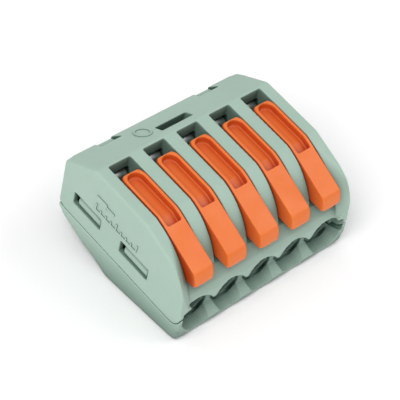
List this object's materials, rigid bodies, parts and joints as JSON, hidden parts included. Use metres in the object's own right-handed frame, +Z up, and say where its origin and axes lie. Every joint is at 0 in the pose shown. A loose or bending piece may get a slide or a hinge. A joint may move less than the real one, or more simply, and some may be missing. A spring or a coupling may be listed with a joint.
{
  "type": "lever wire connector",
  "caption": "Grey-green snap-together housing with a row of hinged orange levers over round wire entries; each lever opens a spring clamp on a shared busbar.",
  "frame": {"origin": "centre of the footprint, on the flat of the base", "axes": "+X runs along the row of ways (width), -Y is the side the wires enter, +Z is up"},
  "size_m": [0.0292, 0.0223, 0.0143],
  "materials": {
    "housing_upper": "fine-grained moulded polyamide, grey-green",
    "housing_base": "fine-grained moulded polyamide, slightly paler grey-green",
    "lever_orange": "smooth moulded plastic with a soft sheen",
    "tinned_copper": "stamped tinned copper strip",
    "spring_steel": "bent spring steel strip"
  },
  "bodies": {
    "housing": {"upper_housing": "housing_upper", "base_tray": "housing_base", "busbar": "tinned_copper", "clamp_spring_1": "spring_steel", "clamp_spring_2": "spring_steel", "clamp_spring_3": "spring_steel", "clamp_spring_4": "spring_steel", "clamp_spring_5": "spring_steel"},
    "lever_1_body": {"lever_1": "lever_orange"},
    "lever_2_body": {"lever_2": "lever_orange"},
    "lever_3_body": {"lever_3": "lever_orange"},
    "lever_4_body": {"lever_4": "lever_orange"},
    "lever_5_body": {"lever_5": "lever_orange"}
  },
  "joints": [
    {"name": "lever_1_hinge", "type": "hinge", "parent": "housing", "child": "lever_1_body", "pos_m": [-0.011, 0.00325, 0.0118], "axis": [-1, 0, 0], "range_deg": [0, 90], "deforming": ["clamp_spring_1"]},
    {"name": "lever_2_hinge", "type": "hinge", "parent": "housing", "child": "lever_2_body", "pos_m": [-0.0055, 0.00325, 0.0118], "axis": [-1, 0, 0], "range_deg": [0, 90], "deforming": ["clamp_spring_2"]},
    {"name": "lever_3_hinge", "type": "hinge", "parent": "housing", "child": "lever_3_body", "pos_m": [0, 0.00325, 0.0118], "axis": [-1, 0, 0], "range_deg": [0, 90], "deforming": ["clamp_spring_3"]},
    {"name": "lever_4_hinge", "type": "hinge", "parent": "housing", "child": "lever_4_body", "pos_m": [0.0055, 0.00325, 0.0118], "axis": [-1, 0, 0], "range_deg": [0, 90], "deforming": ["clamp_spring_4"]},
    {"name": "lever_5_hinge", "type": "hinge", "parent": "housing", "child": "lever_5_body", "pos_m": [0.011, 0.00325, 0.0118], "axis": [-1, 0, 0], "range_deg": [0, 90], "deforming": ["clamp_spring_5"]}
  ]
}
